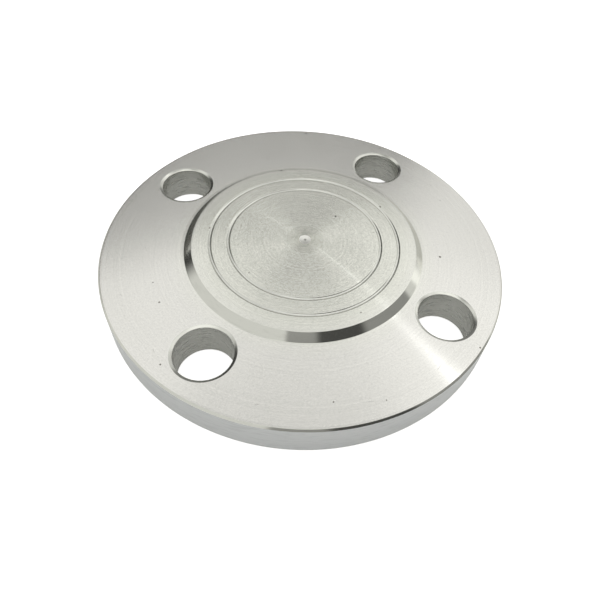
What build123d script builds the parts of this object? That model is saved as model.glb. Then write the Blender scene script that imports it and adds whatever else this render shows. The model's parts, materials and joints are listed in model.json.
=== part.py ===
from build123d import *
import os

# A raised-face blind flange, turned from one forged stainless steel blank.
# Origin: centre of the back face.  +Z: the flange's axis, out of the sealing face.
# The four bolt holes straddle the X and Y axes.  Every length is in millimetres.

# Nominal size: 32A in the 5K class.
outside_diameter = 115.0
bolt_circle_diameter = 90.0
bolt_hole_diameter = 15.0
bolt_hole_count = 4
rim_thickness = 10.6
raised_face_height = 2.0

# The raised sealing face stands on a turned bevel.
raised_face_foot_diameter = 69.0
raised_face_flat_diameter = 64.8

# Two round-bottomed sealing grooves, given by the diameter of their mid line.
groove_mid_diameters = (54.5, 44.0)
groove_width = 1.0
groove_depth = 0.3

# What the facing tool leaves at the centre: a shallow dish with a dimple in it.
centre_dish_diameter = 3.4
centre_dish_depth = 0.1
centre_dimple_diameter = 0.8
centre_dimple_depth = 0.25

# Edge breaks.  Those of the bolt holes have a width across the face and a depth into the hole.
rim_chamfer = 0.5
front_break_width = 0.8
front_break_depth = 0.4
back_break_width = 0.2
back_break_depth = 0.2

# Worked out from the above.
outside_radius = outside_diameter / 2
bolt_hole_radius = bolt_hole_diameter / 2
first_hole_angle = 180 / bolt_hole_count
sealing_face_z = rim_thickness + raised_face_height
dish_floor_z = sealing_face_z - centre_dish_depth


def rim_outline():
    """Back face, rim and bolting face, from the axis to the foot of the bevel."""
    Polyline(
        (0, 0),
        (outside_radius - rim_chamfer, 0),
        (outside_radius, rim_chamfer),
        (outside_radius, rim_thickness - rim_chamfer),
        (outside_radius - rim_chamfer, rim_thickness),
        (raised_face_foot_diameter / 2, rim_thickness),
        (raised_face_flat_diameter / 2, sealing_face_z),
    )


def sealing_face_outline():
    """The sealing face, from the bevel inwards, with a round groove at each mid line."""
    radius = raised_face_flat_diameter / 2
    for mid_diameter in groove_mid_diameters:
        middle = mid_diameter / 2
        outer = middle + groove_width / 2
        inner = middle - groove_width / 2
        Line((radius, sealing_face_z), (outer, sealing_face_z))
        ThreePointArc(
            (outer, sealing_face_z),
            (middle, sealing_face_z - groove_depth),
            (inner, sealing_face_z),
        )
        radius = inner
    Line((radius, sealing_face_z), (centre_dish_diameter / 2, sealing_face_z))


def centre_mark_outline():
    """The dish and the dimple at the centre, and the axis back down to the origin."""
    Polyline(
        (centre_dish_diameter / 2, sealing_face_z),
        (centre_dimple_diameter / 2, dish_floor_z),
        (0, dish_floor_z - centre_dimple_depth),
        (0, 0),
    )


def turned_blank():
    """The flange as it leaves the lathe, before drilling."""
    with BuildPart() as blank:
        with BuildSketch(Plane.XZ):
            with BuildLine():
                rim_outline()
                sealing_face_outline()
                centre_mark_outline()
            make_face()
        revolve(axis=Axis.Z)
    return blank.part


def bolt_hole_cutter():
    """What one bolt hole takes away: the drilled bore and the edge breaks at both of its ends."""
    bore = Cylinder(bolt_hole_radius, 3 * rim_thickness)
    front_break = Pos(0, 0, rim_thickness - front_break_depth / 2) * Cone(
        bolt_hole_radius, bolt_hole_radius + front_break_width, front_break_depth
    )
    back_break = Pos(0, 0, back_break_depth / 2) * Cone(
        bolt_hole_radius + back_break_width, bolt_hole_radius, back_break_depth
    )
    return bore + front_break + back_break


def flange_disc():
    """The blank with its bolt holes drilled and deburred on both faces."""
    places = PolarLocations(bolt_circle_diameter / 2, bolt_hole_count, first_hole_angle)
    cutter = bolt_hole_cutter()
    return turned_blank() - [place * cutter for place in places]


os.makedirs("parts", exist_ok=True)
export_step(flange_disc(), "parts/flange_disc.step")
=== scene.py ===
import json
import math
import bmesh
import bpy
from dataclasses import dataclass
from mathutils import Matrix, Vector


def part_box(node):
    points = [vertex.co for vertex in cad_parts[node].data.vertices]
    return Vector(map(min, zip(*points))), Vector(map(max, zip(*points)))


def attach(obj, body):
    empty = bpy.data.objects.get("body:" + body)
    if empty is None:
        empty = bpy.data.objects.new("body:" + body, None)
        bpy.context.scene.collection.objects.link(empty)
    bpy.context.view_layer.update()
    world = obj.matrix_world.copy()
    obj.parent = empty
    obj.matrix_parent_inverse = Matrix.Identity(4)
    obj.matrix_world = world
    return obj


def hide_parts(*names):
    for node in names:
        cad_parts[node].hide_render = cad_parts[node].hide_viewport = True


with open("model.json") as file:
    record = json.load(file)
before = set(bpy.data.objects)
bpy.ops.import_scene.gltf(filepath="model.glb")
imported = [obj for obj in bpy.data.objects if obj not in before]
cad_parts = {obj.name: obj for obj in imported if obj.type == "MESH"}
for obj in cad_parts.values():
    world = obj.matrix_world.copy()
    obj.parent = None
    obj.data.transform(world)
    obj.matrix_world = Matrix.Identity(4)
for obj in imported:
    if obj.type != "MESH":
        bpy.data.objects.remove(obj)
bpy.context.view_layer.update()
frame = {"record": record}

MM = 0.001

# ---------------------------------------------------------------- sizes, in metres
mounts = {mount["name"]: mount for mount in frame["record"]["mounts"]}
bolt_dims = mounts["bolt_circle"]["dims"]
disc_low, disc_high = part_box("flange_disc")

OUTSIDE_R = (disc_high.x - disc_low.x) / 2
TOP_Z = disc_high.z
RAISED = 2.0 * MM
FACE_Z = TOP_Z - RAISED
BOLT_CIRCLE_R = bolt_dims["pcd_mm"] / 2 * MM
HOLE_R = bolt_dims["hole_r_mm"] * MM
HOLE_COUNT = bolt_dims["count"]
HOLE_ANGLES = [math.pi / HOLE_COUNT + index * math.tau / HOLE_COUNT for index in range(HOLE_COUNT)]

RIM_CHAMFER = 0.5 * MM
FRONT_BREAK_WIDTH = 0.8 * MM
FRONT_BREAK_DEPTH = 0.4 * MM
BACK_BREAK = 0.2 * MM
EDGE_ROUNDING = 0.12 * MM
LAND = 0.25 * MM          # flat kept beside an edge, so that its rounding stays narrow
BEVEL_LAND = 0.5 * MM
BEVEL_FOOT_R = 34.5 * MM
BEVEL_TOP_R = 32.4 * MM
BEVEL_FOOT_FILLET = 0.25 * MM
GROOVE_MID_R = (27.25 * MM, 22.0 * MM)
GROOVE_WIDTH = 1.0 * MM
GROOVE_DEPTH = 0.3 * MM
DISH_R = 1.7 * MM
DISH_DEPTH = 0.1 * MM
DIMPLE_R = 0.4 * MM
DIMPLE_DEPTH = 0.25 * MM
DRILL_RINGS = 18
DRILL_RING_DEPTH = 0.01 * MM
RING_UNEVENNESS = 2.4     # radians between one ring and the next in the wave that sets their depths
MOUTH_CHATTER = 4.0       # how much deeper the first rings are, at the mouth of a hole
MOUTH_RINGS = 2           # rings over which that extra depth dies away

# The flat annulus that the holes are cut in, on the front and on the back.
PLATE_IN_R = 35.6 * MM
PLATE_OUT_R = 56.4 * MM

# ---------------------------------------------------------------- mesh resolution and tolerances
LATHE_STEPS = 480
PATCH_STEPS = 48          # lathe steps across the patch round one hole
SIDE_STEPS = 24           # steps along a patch's straight sides
PATCH_RINGS = 6
PATCH_CROWDING = 1.5      # above 1, a patch's rings crowd towards the hole
FILLET_STEPS = 3
FILLET_SHARE = 0.4        # the largest part of a side that the rounding of its corner takes
SHARP_TURN = math.radians(13)   # outline corners that turn less than this are left as they are
GROOVE_STEPS = 10
DISH_STEPS = 8
WELD = 1e-7               # vertices nearer than this are the same one
LEVEL = 0.995             # the least height of a level face's normal
ON_RIM = 0.02 * MM        # how far inside the outside radius the rim's faces may lie


def rounded(points, usual_radius):
    """The open outline with a small arc at each sharp corner; a point's third number is its own radius."""
    out = [Vector(points[0])]
    for before, corner, after in zip(points, points[1:], points[2:]):
        radius = corner[2] if len(corner) == 3 else usual_radius
        before, corner, after = Vector(before[:2]), Vector(corner[:2]), Vector(after[:2])
        to_before, to_after = before - corner, after - corner
        turn = math.pi - to_before.angle(to_after)
        if turn < SHARP_TURN:
            out.append(corner)
            continue
        longest = FILLET_SHARE * min(to_before.length, to_after.length)
        reach = min(radius * math.tan(turn / 2), longest)
        start = corner + to_before.normalized() * reach
        end = corner + to_after.normalized() * reach
        for step in range(FILLET_STEPS + 1):
            t = step / FILLET_STEPS
            out.append((1 - t) ** 2 * start + 2 * t * (1 - t) * corner + t * t * end)
    out.append(Vector(points[-1]))
    return out


def groove_arc(middle):
    """A round-bottomed groove's section, from its outer edge to its inner edge."""
    half = GROOVE_WIDTH / 2
    radius = (half ** 2 + GROOVE_DEPTH ** 2) / (2 * GROOVE_DEPTH)
    reach = math.asin(half / radius)
    arc = []
    for step in range(GROOVE_STEPS + 1):
        angle = reach * (1 - 2 * step / GROOVE_STEPS)
        height = TOP_Z - GROOVE_DEPTH + radius * (1 - math.cos(angle))
        arc.append((middle + radius * math.sin(angle), height))
    return arc


def lathe(bm, profile, centre=(0.0, 0.0), angles=None):
    """Turns an outline of (radius, height) points about a vertical axis."""
    if angles is None:
        angles = [math.tau * step / LATHE_STEPS for step in range(LATHE_STEPS)]
    rings = []
    for radius, height in profile:
        if radius < WELD:
            rings.append([bm.verts.new((centre[0], centre[1], height))] * len(angles))
            continue
        rings.append([
            bm.verts.new((centre[0] + radius * math.cos(a), centre[1] + radius * math.sin(a), height))
            for a in angles
        ])
    count = len(angles)
    for upper, lower in zip(rings, rings[1:]):
        for i in range(count):
            j = (i + 1) % count
            corners = []
            for vert in (upper[i], lower[i], lower[j], upper[j]):
                if vert not in corners:
                    corners.append(vert)
            bm.faces.new(corners)


def polar(radius, angle):
    """The point at this distance and angle from the axis."""
    return Vector((radius * math.cos(angle), radius * math.sin(angle)))


def patch_outline(hole_angle):
    """The patch round one hole, as points in order: outer arc, side, inner arc, side."""
    half = math.pi * PATCH_STEPS / LATHE_STEPS
    points = []
    for step in range(PATCH_STEPS):
        points.append((PLATE_OUT_R, hole_angle - half + 2 * half * step / PATCH_STEPS))
    for step in range(SIDE_STEPS):
        points.append((PLATE_OUT_R + (PLATE_IN_R - PLATE_OUT_R) * step / SIDE_STEPS, hole_angle + half))
    for step in range(PATCH_STEPS):
        points.append((PLATE_IN_R, hole_angle + half - 2 * half * step / PATCH_STEPS))
    for step in range(SIDE_STEPS):
        points.append((PLATE_IN_R + (PLATE_OUT_R - PLATE_IN_R) * step / SIDE_STEPS, hole_angle - half))
    return [polar(radius, angle) for radius, angle in points]


def hole_profile():
    """A bolt hole's wall with the drill's rings and both edge breaks, from the front plate to the back."""
    wall_top = FACE_Z - FRONT_BREAK_DEPTH
    corners = [
        (HOLE_R + FRONT_BREAK_WIDTH + LAND, FACE_Z),
        (HOLE_R + FRONT_BREAK_WIDTH, FACE_Z),
        (HOLE_R, wall_top),
    ]
    for ring in range(1, DRILL_RINGS):
        height = wall_top + (BACK_BREAK - wall_top) * ring / DRILL_RINGS
        mouth_chatter = 1 + MOUTH_CHATTER * math.exp(-ring / MOUTH_RINGS)
        unevenness = abs(math.sin(RING_UNEVENNESS * ring))
        corners.append((HOLE_R + DRILL_RING_DEPTH * mouth_chatter * unevenness * (ring % 2), height))
    corners += [
        (HOLE_R, BACK_BREAK),
        (HOLE_R + BACK_BREAK, 0.0),
        (HOLE_R + BACK_BREAK + LAND, 0.0),
    ]
    return rounded(corners, EDGE_ROUNDING)


def patch(bm, hole_angle, height, edge_r):
    """The flat patch round one hole, from the hole's edge out to the patch's outline."""
    centre = polar(BOLT_CIRCLE_R, hole_angle)
    outline = patch_outline(hole_angle)
    rings = []
    for ring in range(PATCH_RINGS + 1):
        spread = (ring / PATCH_RINGS) ** PATCH_CROWDING
        row = []
        for point in outline:
            edge = centre + (point - centre).normalized() * edge_r
            row.append(bm.verts.new((*edge.lerp(point, spread), height)))
        rings.append(row)
    for inner, outer in zip(rings, rings[1:]):
        for i in range(len(outline)):
            j = (i + 1) % len(outline)
            bm.faces.new((inner[i], outer[i], outer[j], inner[j]))


def sector(bm, start, height):
    """The flat part of the annulus between one hole's patch and the next, from the angle where it starts."""
    between = LATHE_STEPS // HOLE_COUNT - PATCH_STEPS
    rows = []
    for side in range(SIDE_STEPS + 1):
        radius = PLATE_OUT_R + (PLATE_IN_R - PLATE_OUT_R) * side / SIDE_STEPS
        rows.append([
            bm.verts.new((*polar(radius, start + math.tau * step / LATHE_STEPS), height))
            for step in range(between + 1)
        ])
    for outer, inner in zip(rows, rows[1:]):
        for i in range(between):
            bm.faces.new((outer[i], outer[i + 1], inner[i + 1], inner[i]))


def plate(bm, height, edge_r):
    """The flat annulus at one height, with a round opening for each hole."""
    for hole_angle in HOLE_ANGLES:
        patch(bm, hole_angle, height, edge_r)
        sector(bm, hole_angle + math.pi * PATCH_STEPS / LATHE_STEPS, height)


def front_profile():
    """From the centre mark out to the plate: sealing face, grooves and bevel."""
    points = [(0.0, TOP_Z - DISH_DEPTH - DIMPLE_DEPTH)]
    for step in range(DISH_STEPS + 1):
        radius = DIMPLE_R + (DISH_R - DIMPLE_R) * step / DISH_STEPS
        points.append((radius, TOP_Z - DISH_DEPTH * (1 - (radius / DISH_R) ** 2)))
    for middle in reversed(GROOVE_MID_R):
        points.append((middle - GROOVE_WIDTH / 2 - LAND, TOP_Z))
        points += reversed(groove_arc(middle))
        points.append((middle + GROOVE_WIDTH / 2 + LAND, TOP_Z))
    points += [
        (BEVEL_TOP_R - BEVEL_LAND, TOP_Z),
        (BEVEL_TOP_R, TOP_Z),
        (BEVEL_FOOT_R, FACE_Z, BEVEL_FOOT_FILLET),
        (PLATE_IN_R, FACE_Z),
    ]
    return rounded(points, EDGE_ROUNDING)


def rim_profile():
    """From the front plate over the rim to the back plate."""
    points = [
        (PLATE_OUT_R, FACE_Z),
        (OUTSIDE_R - RIM_CHAMFER, FACE_Z),
        (OUTSIDE_R, FACE_Z - RIM_CHAMFER),
        (OUTSIDE_R, RIM_CHAMFER),
        (OUTSIDE_R - RIM_CHAMFER, 0.0),
        (PLATE_OUT_R, 0.0),
    ]
    return rounded(points, EDGE_ROUNDING)


def flange_mesh():
    """The whole flange as one closed mesh, with a finish on each face."""
    bm = bmesh.new()
    lathe(bm, front_profile())
    lathe(bm, rim_profile())
    lathe(bm, [(0.0, 0.0), (PLATE_IN_R / 2, 0.0), (PLATE_IN_R, 0.0)])
    wall = hole_profile()
    plate(bm, FACE_Z, wall[0].x)
    plate(bm, 0.0, wall[-1].x)
    for hole_angle in HOLE_ANGLES:
        centre = polar(BOLT_CIRCLE_R, hole_angle)
        angles = [math.atan2(p.y - centre.y, p.x - centre.x) for p in patch_outline(hole_angle)]
        lathe(bm, wall, centre, angles)
    bmesh.ops.remove_doubles(bm, verts=bm.verts, dist=WELD)
    bmesh.ops.recalc_face_normals(bm, faces=bm.faces)
    finishes = list(FINISHES)
    holes = [polar(BOLT_CIRCLE_R, hole_angle) for hole_angle in HOLE_ANGLES]
    for face in bm.faces:
        face.smooth = True
        face.material_index = finishes.index(finish(face, holes))
    mesh = bpy.data.meshes.new("flange")
    bm.to_mesh(mesh)
    bm.free()
    return mesh


# ---------------------------------------------------------------- node helpers
class Graph:
    """A node tree with short calls for the few kinds of node that the materials share."""

    def __init__(self, tree):
        self.nodes = tree.nodes
        self.links = tree.links

    def put(self, socket, value):
        if isinstance(value, bpy.types.NodeSocket):
            self.links.new(value, socket)
        elif value is not None:
            socket.default_value = value

    def math(self, operation, first, second=None, third=None):
        node = self.nodes.new("ShaderNodeMath")
        node.operation = operation
        for socket, value in zip(node.inputs, (first, second, third)):
            self.put(socket, value)
        return node.outputs[0]

    def vector(self, operation, first, second=None):
        node = self.nodes.new("ShaderNodeVectorMath")
        node.operation = operation
        self.put(node.inputs[0], first)
        self.put(node.inputs[1], second)
        return node.outputs["Value" if operation in ("LENGTH", "DOT_PRODUCT") else "Vector"]

    def scale(self, vector, factor):
        node = self.nodes.new("ShaderNodeVectorMath")
        node.operation = "SCALE"
        self.put(node.inputs[0], vector)
        self.put(node.inputs["Scale"], factor)
        return node.outputs["Vector"]

    def combine(self, x=0.0, y=0.0, z=0.0):
        node = self.nodes.new("ShaderNodeCombineXYZ")
        for socket, value in zip(node.inputs, (x, y, z)):
            self.put(socket, value)
        return node.outputs[0]

    def separate(self, vector):
        node = self.nodes.new("ShaderNodeSeparateXYZ")
        self.put(node.inputs[0], vector)
        return node.outputs

    def noise(self, vector, scale, detail=2.0, roughness=0.5):
        node = self.nodes.new("ShaderNodeTexNoise")
        self.put(node.inputs["Vector"], vector)
        node.inputs["Scale"].default_value = scale
        node.inputs["Detail"].default_value = detail
        node.inputs["Roughness"].default_value = roughness
        return node.outputs["Fac"]

    def remap(self, value, low, high, to_low=0.0, to_high=1.0, smooth=False):
        node = self.nodes.new("ShaderNodeMapRange")
        node.interpolation_type = "SMOOTHSTEP" if smooth else "LINEAR"
        for socket, number in zip(node.inputs, (value, low, high, to_low, to_high)):
            self.put(socket, number)
        return node.outputs[0]

    def mix(self, factor, first, second):
        node = self.nodes.new("ShaderNodeMix")
        node.data_type = "RGBA"
        self.put(node.inputs["Factor"], factor)
        self.put(node.inputs[6], first)
        self.put(node.inputs[7], second)
        return node.outputs[2]

    def bump(self, height, distance, normal=None):
        node = self.nodes.new("ShaderNodeBump")
        node.inputs["Strength"].default_value = 1.0
        node.inputs["Distance"].default_value = distance
        self.put(node.inputs["Height"], height)
        self.put(node.inputs["Normal"], normal)
        return node.outputs[0]


# ---------------------------------------------------------------- materials
# Lengths in the materials are in millimetres, except for the depth of a bump, which is in metres.
STEEL = (0.72, 0.725, 0.67)
# The bolt holes' walls: darker than STEEL, partly for their duller drilled finish and partly as painted
# shade inside the holes.
DRILLED_STEEL_AND_PAINTED_SHADE = (0.65, 0.655, 0.625)
INNER_PATCHES = ((0.66, 0.665, 0.61, 1), (0.81, 0.815, 0.76, 1))
OUTER_PATCHES = ((0.675, 0.67, 0.64, 1), (0.825, 0.82, 0.79, 1))
DULL_CENTRE = (0.42, 0.43, 0.37, 1)
DARK_MARK = (0.2, 0.19, 0.17, 1)
PATCH_CONTRAST = 2.2
INNER_CONTRAST = 4.2      # of the patches inside the inner groove
PIT_SPACING = 13
PIT_R = 0.42
HAIRLINE_STRENGTH = 0.3   # beside 1 for a pit
FEED = 0.08               # between two of the facing tool's grooves
INNER_SLOPE = 0.4         # of those grooves' flanks, near the axis and far from it
OUTER_SLOPE = 0.08
RING_SLOPE = 0.12         # of the less regular rings among them
INNER_CHATTER = 0.02      # beside 1 for a pit, near the axis and far from it
OUTER_CHATTER = 0.12
UNEVEN_ROUGHNESS = 0.015
STAIN_ROUGHNESS = 0.15    # added in a full stain
STAIN_SHADE = 0.55


def steel(name, roughness, anisotropic, colour=STEEL):
    """Bare steel with its uniform values on the shader. Returns the material, its graph and its shader."""
    material = bpy.data.materials.new(name)
    material.use_nodes = True
    graph = Graph(material.node_tree)
    shader = graph.nodes["Principled BSDF"]
    shader.inputs["Base Color"].default_value = (*colour, 1)
    shader.inputs["Metallic"].default_value = 1.0
    shader.inputs["Roughness"].default_value = roughness
    shader.inputs["Anisotropic"].default_value = anisotropic
    return material, graph, shader


def millimetres(graph):
    """The place on the flange, in millimetres."""
    return graph.scale(graph.nodes.new("ShaderNodeTexCoord").outputs["Object"], 1 / MM)


def pits(graph, place):
    """1 inside a few small scattered pits and specks, 0 elsewhere."""
    cells = graph.nodes.new("ShaderNodeTexVoronoi")
    cells.voronoi_dimensions = "2D"
    graph.put(cells.inputs["Vector"], place)
    cells.inputs["Scale"].default_value = 1 / PIT_SPACING
    distance = graph.math("MULTIPLY", cells.outputs["Distance"], PIT_SPACING)
    size = graph.remap(graph.separate(cells.outputs["Color"])[0], 0.35, 1.0, 0.0, PIT_R)
    return graph.remap(graph.math("SUBTRACT", distance, size), -0.15, 0.05, 1, 0, smooth=True)


def hairlines(graph, x, y, place):
    """1 along a few thin scratches in slowly changing directions, 0 elsewhere."""
    turn = graph.math("MULTIPLY", graph.noise(place, scale=0.02, detail=0.0), math.tau)
    cosine = graph.math("COSINE", turn)
    sine = graph.math("SINE", turn)
    along = graph.math("ADD", graph.math("MULTIPLY", x, cosine), graph.math("MULTIPLY", y, sine))
    across = graph.math("SUBTRACT", graph.math("MULTIPLY", y, cosine), graph.math("MULTIPLY", x, sine))
    streaks = graph.combine(graph.math("MULTIPLY", along, 0.15), graph.math("MULTIPLY", across, 2.5))
    return graph.remap(graph.noise(streaks, scale=1.0, detail=1.0), 0.75, 0.81, smooth=True)


def facing_colour(graph, radius, place, marks):
    """Patchy pale steel, a little more neutral outside, dull round the centre and dark in its marks."""
    ringed = graph.noise(graph.combine(radius, 5.0), scale=2.0, detail=3.0)
    blotched = graph.noise(place, scale=1.8, detail=3.0, roughness=0.7)
    patchy = graph.math("ADD", graph.math("MULTIPLY", blotched, 0.6), graph.math("MULTIPLY", ringed, 0.4))
    contrast = graph.remap(radius, 20, 28, INNER_CONTRAST, PATCH_CONTRAST)
    patchy = graph.math("MULTIPLY_ADD", graph.math("SUBTRACT", patchy, 0.5), contrast, 0.5)
    inner = graph.mix(patchy, *INNER_PATCHES)
    outer = graph.mix(patchy, *OUTER_PATCHES)
    tone = graph.mix(graph.remap(radius, 29, 39), inner, outer)
    dull = graph.remap(radius, 2.0, 7.0, 0.4, 0.0, smooth=True)
    tone = graph.mix(dull, tone, DULL_CENTRE)
    return graph.mix(marks, tone, DARK_MARK)


def facing_normal(graph, outward, radius, rings_per_mm):
    """The normal across the facing tool's grooves. It leans outwards and inwards, most near the axis."""
    flank = graph.remap(graph.math("PINGPONG", radius, FEED / 2), 0.0, FEED / 2, -1.0, 1.0)
    flank = graph.math("MULTIPLY", flank, graph.math("ABSOLUTE", flank))
    steepness = graph.remap(radius, 13, 33, INNER_SLOPE, OUTER_SLOPE)
    rings = graph.noise(graph.combine(radius), scale=rings_per_mm, detail=4.0, roughness=0.7)
    rings = graph.math("MULTIPLY", graph.math("SUBTRACT", rings, 0.5), RING_SLOPE)
    slope = graph.math("MULTIPLY_ADD", flank, steepness, rings)
    normal = graph.nodes.new("ShaderNodeNewGeometry").outputs["Normal"]
    lean = graph.vector("MULTIPLY", outward, slope)
    return graph.vector("NORMALIZE", graph.vector("ADD", normal, lean))


def faced(name, roughness, rings_per_mm, depth):
    """A face turned on the lathe, with its grooves about the axis, chatter, pits and hairline scratches."""
    material, graph, shader = steel(name, roughness, 1.0)
    place = millimetres(graph)
    x, y, _ = graph.separate(place)
    from_axis = graph.combine(x, y)
    radius = graph.vector("LENGTH", from_axis)
    outward = graph.vector("NORMALIZE", from_axis)
    graph.put(shader.inputs["Tangent"], outward)
    wear = graph.noise(place, scale=0.12, detail=4.0, roughness=0.6)
    bands = graph.noise(graph.combine(radius), scale=0.35, detail=2.0)
    uneven = graph.math("MULTIPLY", graph.math("ADD", wear, bands), 0.5)
    smoother, rougher = roughness - UNEVEN_ROUGHNESS, roughness + UNEVEN_ROUGHNESS
    graph.put(shader.inputs["Roughness"], graph.remap(uneven, 0.3, 0.7, smoother, rougher))
    scratches = graph.math("MULTIPLY", hairlines(graph, x, y, place), HAIRLINE_STRENGTH)
    marks = graph.math("MAXIMUM", pits(graph, place), scratches)
    graph.put(shader.inputs["Base Color"], facing_colour(graph, radius, place, marks))
    chatter_depth = graph.remap(radius, 12, 45, INNER_CHATTER, OUTER_CHATTER)
    chatter = graph.noise(place, scale=3.0, detail=2.0, roughness=0.7)
    height = graph.math("SUBTRACT", graph.math("MULTIPLY", chatter, chatter_depth), marks)
    grooved = facing_normal(graph, outward, radius, rings_per_mm)
    graph.put(shader.inputs["Normal"], graph.bump(height, depth, grooved))
    return material


def worked(name, roughness, anisotropic, colour, lines_per_mm, depth, stained=0.0):
    """A turned or drilled wall or chamfer: lines that run round it, each at one height, and dull stains."""
    material, graph, shader = steel(name, roughness, anisotropic, colour)
    place = millimetres(graph)
    height = graph.separate(place)[2]
    lines = graph.noise(graph.combine(height), scale=lines_per_mm, detail=3.0, roughness=0.6)
    normal = graph.nodes.new("ShaderNodeNewGeometry").outputs["Normal"]
    around = graph.vector("CROSS_PRODUCT", (0, 0, 1), normal)
    up = graph.vector("CROSS_PRODUCT", normal, around)
    graph.put(shader.inputs["Tangent"], graph.vector("NORMALIZE", up))
    graph.put(shader.inputs["Normal"], graph.bump(lines, depth))
    stretched = graph.vector("MULTIPLY", place, (0.4, 0.4, 2.5))
    stains = graph.noise(stretched, scale=0.6, detail=3.0, roughness=0.6)
    stains = graph.remap(stains, 0.48, 0.68, 0.0, stained, smooth=True)
    shade = tuple(channel * STAIN_SHADE for channel in colour)
    graph.put(shader.inputs["Base Color"], graph.mix(stains, (*colour, 1), (*shade, 1)))
    rougher = roughness + STAIN_ROUGHNESS
    graph.put(shader.inputs["Roughness"], graph.remap(stains, 0.0, 1.0, roughness, rougher))
    return material


# Faced steel has its roughness, its rings per millimetre and the depth of its marks. Worked steel has its
# roughness, anisotropy and colour, its lines per millimetre, their depth, and how stained it is.
FINISHES = {
    "faced": faced("faced steel", 0.19, 3.0, 0.009 * MM),
    "chamfered": worked("chamfer steel", 0.10, 0.5, STEEL, 3.0, 0.001 * MM, 0.1),
    "deburred": worked("deburred steel", 0.22, 0.3, (0.65, 0.655, 0.61), 2.0, 0.003 * MM, 0.2),
    "grooved": worked("groove steel", 0.20, 0.5, (0.70, 0.705, 0.66), 3.0, 0.001 * MM, 0.2),
    "centre": worked("centre mark steel", 0.32, 0.0, (0.80, 0.80, 0.76), 1.0, 0.001 * MM, 0.1),
    "punched": worked("centre dot steel", 0.40, 0.0, (0.40, 0.40, 0.37), 1.0, 0.001 * MM),
    "rim": worked("rim steel", 0.30, 0.8, (0.745, 0.76, 0.765), 2.5, 0.012 * MM, 0.2),
    # The drilled walls' darker colour is partly painted shade inside the holes.
    "drilled": worked("drilled steel with painted shade", 0.26, 0.7, DRILLED_STEEL_AND_PAINTED_SHADE, 1.6, 0.006 * MM, 0.35),
    "back": faced("back steel", 0.32, 1.0, 0.01 * MM),
}


def finish(face, holes):
    """Which finish a face of the flange has, by where it is and which way it looks."""
    centre = face.calc_center_median()
    radius = math.hypot(centre.x, centre.y)
    at_hole = min((centre.xy - hole).length for hole in holes) < HOLE_R + FRONT_BREAK_WIDTH + LAND
    level = abs(face.normal.z) > LEVEL
    if radius > OUTSIDE_R - ON_RIM:
        return "rim"
    if at_hole and BACK_BREAK < centre.z < FACE_Z - FRONT_BREAK_DEPTH:
        return "drilled"
    if at_hole and not level:
        return "deburred"
    if centre.z < RIM_CHAMFER:
        return "back" if level else "chamfered"
    if radius < DIMPLE_R:
        return "punched"
    if radius < DISH_R:
        return "centre"
    if any(abs(radius - middle) < GROOVE_WIDTH / 2 for middle in GROOVE_MID_R):
        return "grooved"
    return "faced" if level else "chamfered"


# ---------------------------------------------------------------- the flange
flange = bpy.data.objects.new("turned_flange", flange_mesh())
bpy.context.scene.collection.objects.link(flange)
for material in FINISHES.values():
    flange.data.materials.append(material)
weighted = flange.modifiers.new("weighted normals", "WEIGHTED_NORMAL")
weighted.mode = "FACE_AREA"
weighted.weight = 100
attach(flange, "root")
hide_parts("flange_disc")

# ---------------------------------------------------------------- floor
FLOOR_SIZE = 800 * MM
FLOOR_GAP = 0.02 * MM
FLOOR_GLOW = 0.7          # light that only the camera sees from it, so that it stays pale
bpy.ops.mesh.primitive_plane_add(size=FLOOR_SIZE, location=(0, 0, -FLOOR_GAP))
floor = bpy.context.object
floor.name = "floor"
floor_material = bpy.data.materials.new("pale floor")
floor_material.use_nodes = True
floor_graph = Graph(floor_material.node_tree)
floor_shader = floor_graph.nodes["Principled BSDF"]
floor_shader.inputs["Base Color"].default_value = (0.88, 0.88, 0.87, 1)
floor_shader.inputs["Roughness"].default_value = 0.9
floor_shader.inputs["Emission Color"].default_value = (1, 1, 1, 1)
seen = floor_graph.nodes.new("ShaderNodeLightPath").outputs["Is Camera Ray"]
floor_graph.put(floor_shader.inputs["Emission Strength"], floor_graph.math("MULTIPLY", seen, FLOOR_GLOW))
floor.data.materials.append(floor_material)

# ---------------------------------------------------------------- light
# Angles are in degrees: azimuth is counted from +X towards +Y, elevation from the horizon.
ROOM_LEVEL = 0.8
CEILING_LEVEL = 1.03
CEILING_STARTS = 44
CEILING_SOFTNESS = 1
WARM_WHITE = (1.0, 0.995, 0.97)
LAMP_AZIMUTH = 35
LAMP_ELEVATION = 57


@dataclass
class Screen:
    """A soft-edged panel far away that the steel reflects, darker or brighter than the room."""

    azimuth: float
    half_width: float
    low: float
    high: float
    level: float
    softness: float = 2.0


SCREENS = {
    "bright far half of the ceiling": Screen(azimuth=30, half_width=65, low=42, high=72, level=1.16),
    "dim top of the ceiling": Screen(azimuth=150, half_width=145, low=66, high=90, level=0.5, softness=6),
    "softbox above the camera": Screen(azimuth=260, half_width=65, low=60, high=88, level=1.4),
    "backdrop": Screen(azimuth=90, half_width=30, low=-90, high=43, level=0.26, softness=1),
    "backdrop's dark side": Screen(azimuth=122, half_width=26, low=-90, high=38, level=0.06, softness=8),
    "grey surround of the camera": Screen(azimuth=300, half_width=55, low=-90, high=40, level=0.33),
    "camera and photographer": Screen(azimuth=292, half_width=20, low=-90, high=45, level=0.08, softness=4),
    "window": Screen(azimuth=14, half_width=9, low=0, high=42, level=1.25),
}


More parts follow.
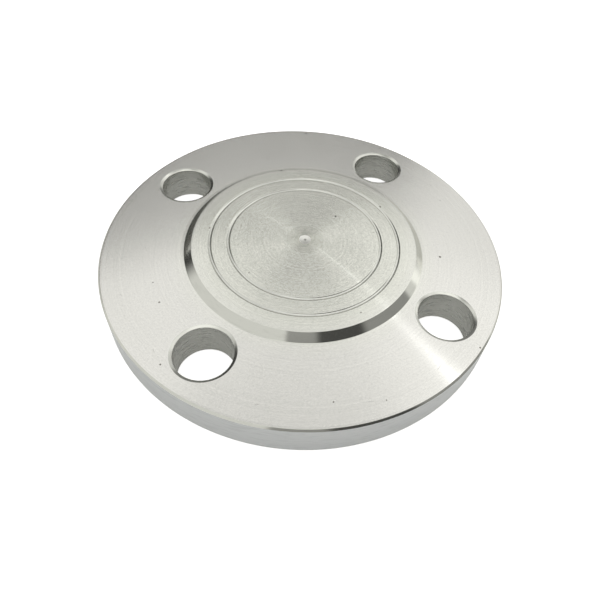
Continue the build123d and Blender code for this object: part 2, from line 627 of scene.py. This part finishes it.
def studio():
    """A soft pale room. It is plain white to the camera, and the steel also sees the screens in it."""
    world = bpy.data.worlds.new("studio")
    bpy.context.scene.world = world
    world.use_nodes = True
    graph = Graph(world.node_tree)
    direction = graph.nodes.new("ShaderNodeTexCoord").outputs["Generated"]
    x, y, z = graph.separate(direction)
    level_direction = graph.vector("NORMALIZE", graph.combine(x, y))
    elevation = graph.math("MULTIPLY", graph.math("ARCSINE", z), 180 / math.pi)
    ceiling_low, ceiling_high = CEILING_STARTS - CEILING_SOFTNESS, CEILING_STARTS + CEILING_SOFTNESS
    ceiling = graph.remap(elevation, ceiling_low, ceiling_high, smooth=True)
    level = graph.remap(ceiling, 0, 1, ROOM_LEVEL, CEILING_LEVEL)
    for screen in SCREENS.values():
        middle = math.radians(screen.azimuth)
        towards = (math.cos(middle), math.sin(middle), 0)
        offset = graph.math("ARCCOSINE", graph.vector("DOT_PRODUCT", level_direction, towards))
        offset = graph.math("MULTIPLY", offset, 180 / math.pi)
        soft = screen.softness
        inside = graph.remap(offset, screen.half_width - soft, screen.half_width + soft, 1, 0, smooth=True)
        over_low = graph.remap(elevation, screen.low - soft, screen.low + soft, smooth=True)
        under_high = graph.remap(elevation, screen.high - soft, screen.high + soft, 1, 0, smooth=True)
        cover = graph.math("MULTIPLY", inside, graph.math("MULTIPLY", over_low, under_high))
        change = graph.math("SUBTRACT", screen.level, level)
        level = graph.math("MULTIPLY_ADD", change, cover, level)
    seen = graph.nodes.new("ShaderNodeLightPath").outputs["Is Camera Ray"]
    light = graph.mix(seen, graph.scale(WARM_WHITE, level), (1, 1, 1, 1))
    graph.put(graph.nodes["Background"].inputs["Color"], light)


def streak_lamp():
    """A small distant lamp: its light runs along a radius of the turned faces as a narrow streak."""
    azimuth, elevation = math.radians(LAMP_AZIMUTH), math.radians(LAMP_ELEVATION)
    towards = Vector((
        math.cos(azimuth) * math.cos(elevation),
        math.sin(azimuth) * math.cos(elevation),
        math.sin(elevation),
    ))
    lamp = bpy.data.lights.new("streak lamp", "SUN")
    lamp.energy = 0.0125
    lamp.angle = math.radians(0.5)
    holder = bpy.data.objects.new("streak lamp", lamp)
    holder.rotation_mode = "QUATERNION"
    holder.rotation_quaternion = towards.to_track_quat("Z", "Y")
    bpy.context.scene.collection.objects.link(holder)


studio()
streak_lamp()

# ---------------------------------------------------------------- camera
CAMERA_AZIMUTH = math.radians(-14.56)
CAMERA_ELEVATION = math.radians(45.89)
CAMERA_DISTANCE = 156.1 * MM
AIM = Vector((2.05 * MM, -8.65 * MM, FACE_Z))
ROLL = math.radians(5.65)
camera = bpy.data.objects.new("camera", bpy.data.cameras.new("camera"))
bpy.context.scene.collection.objects.link(camera)
camera.location = Vector((
    math.sin(CAMERA_AZIMUTH) * math.cos(CAMERA_ELEVATION),
    -math.cos(CAMERA_AZIMUTH) * math.cos(CAMERA_ELEVATION),
    math.sin(CAMERA_ELEVATION),
)) * CAMERA_DISTANCE + Vector((0, 0, FACE_Z))
look = (AIM - camera.location).to_track_quat("-Z", "Y")
camera.rotation_mode = "QUATERNION"
camera.rotation_quaternion = look @ Matrix.Rotation(ROLL, 3, "Z").to_quaternion()
camera.data.lens = 31.98
camera.data.sensor_width = 36
camera.data.shift_x = -0.03
camera.data.shift_y = -0.0583
camera.data.clip_start = 0.01
bpy.context.scene.camera = camera

bpy.context.scene.view_settings.view_transform = "Standard"
